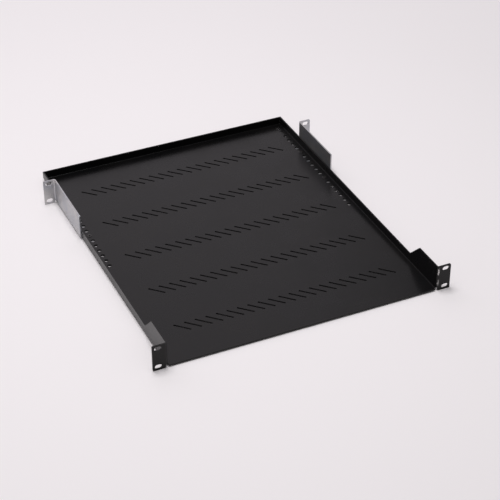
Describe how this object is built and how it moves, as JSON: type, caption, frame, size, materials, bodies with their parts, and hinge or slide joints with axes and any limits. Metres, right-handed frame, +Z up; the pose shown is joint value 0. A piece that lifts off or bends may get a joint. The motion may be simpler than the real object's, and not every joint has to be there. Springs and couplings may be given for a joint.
{
  "type": "vented rack shelf",
  "caption": "Vented steel tray for a 19 inch rack, folded from one black sheet with its front ears and back lip, with separate zinc-plated rear support brackets.",
  "frame": {"origin": "centre of the front ears' bolt pattern, in the plane of the ears' back faces, where they meet the front rack posts", "axes": "+X to the right seen from the front, +Y from the front ears to the back lip, +Z up, out of the tray"},
  "size_m": [0.4826, 0.55, 0.0436],
  "materials": {
    "black_powder_coat": "satin",
    "zinc_plated_steel": "satin",
    "black_screw": "satin"
  },
  "bodies": {
    "root": {"tray": "black_powder_coat", "rear_bracket_left": "zinc_plated_steel", "rear_bracket_right": "zinc_plated_steel", "screw_left_front": "black_screw", "screw_left_rear": "black_screw", "screw_right_front": "black_screw", "screw_right_rear": "black_screw"}
  },
  "joints": []
}
